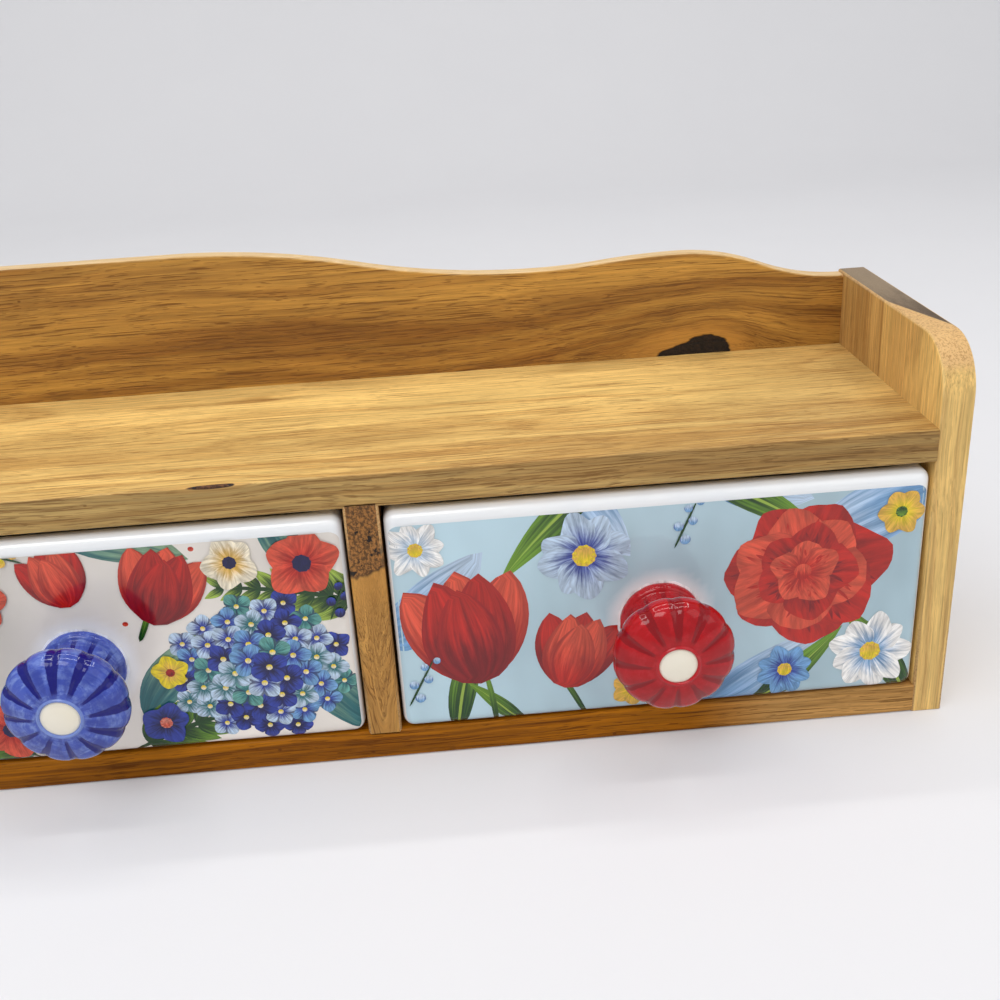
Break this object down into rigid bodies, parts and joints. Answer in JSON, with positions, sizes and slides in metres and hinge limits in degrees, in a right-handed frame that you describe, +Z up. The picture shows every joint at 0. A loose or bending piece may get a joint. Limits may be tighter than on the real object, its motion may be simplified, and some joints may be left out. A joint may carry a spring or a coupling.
{
  "type": "spice drawer cabinet",
  "caption": "Long low wooden tabletop cabinet with side-by-side ceramic drawers on fluted round knobs, an open shelf on top and a wavy back board.",
  "frame": {"origin": "centre of the case's footprint, on the surface that it stands on", "axes": "+X along the row of drawers to the right as seen from the front, +Y from the drawer fronts to the back board, +Z up; the drawers slide out along -Y"},
  "size_m": [0.513, 0.1185, 0.1393],
  "materials": {
    "oiled_wood": "honey-coloured hardwood boards, planed and oiled, satin",
    "brad_steel": "bright steel brads with flat heads",
    "drawer_glaze": "slip-cast earthenware under a clear white gloss glaze, face painted",
    "knob_glaze_left": "brushed teal gloss glaze over fluted earthenware",
    "knob_glaze_middle": "brushed blue gloss glaze over fluted earthenware",
    "knob_glaze_right": "brushed red gloss glaze over fluted earthenware",
    "nut_brass": "plain turned brass",
    "washer_rubber": "soft black rubber",
    "screw_steel": "zinc-plated steel"
  },
  "bodies": {
    "case": {"left_side_panel": "oiled_wood", "right_side_panel": "oiled_wood", "base_board": "oiled_wood", "top_shelf": "oiled_wood", "left_divider": "oiled_wood", "right_divider": "oiled_wood", "back_board": "oiled_wood", "back_brads": "brad_steel"},
    "left_drawer": {"drawer_left": "drawer_glaze", "knob_left": "knob_glaze_left", "knob_nut_left": "nut_brass", "knob_washer_left": "washer_rubber", "knob_screw_left": "screw_steel"},
    "middle_drawer": {"drawer_middle": "drawer_glaze", "knob_middle": "knob_glaze_middle", "knob_nut_middle": "nut_brass", "knob_washer_middle": "washer_rubber", "knob_screw_middle": "screw_steel"},
    "right_drawer": {"drawer_right": "drawer_glaze", "knob_right": "knob_glaze_right", "knob_nut_right": "nut_brass", "knob_washer_right": "washer_rubber", "knob_screw_right": "screw_steel"}
  },
  "joints": [
    {"name": "left_drawer_slide", "type": "slide", "parent": "case", "child": "left_drawer", "axis": [0, -1, 0], "range_m": [0, 0.07]},
    {"name": "middle_drawer_slide", "type": "slide", "parent": "case", "child": "middle_drawer", "axis": [0, -1, 0], "range_m": [0, 0.07]},
    {"name": "right_drawer_slide", "type": "slide", "parent": "case", "child": "right_drawer", "axis": [0, -1, 0], "range_m": [0, 0.07]}
  ]
}
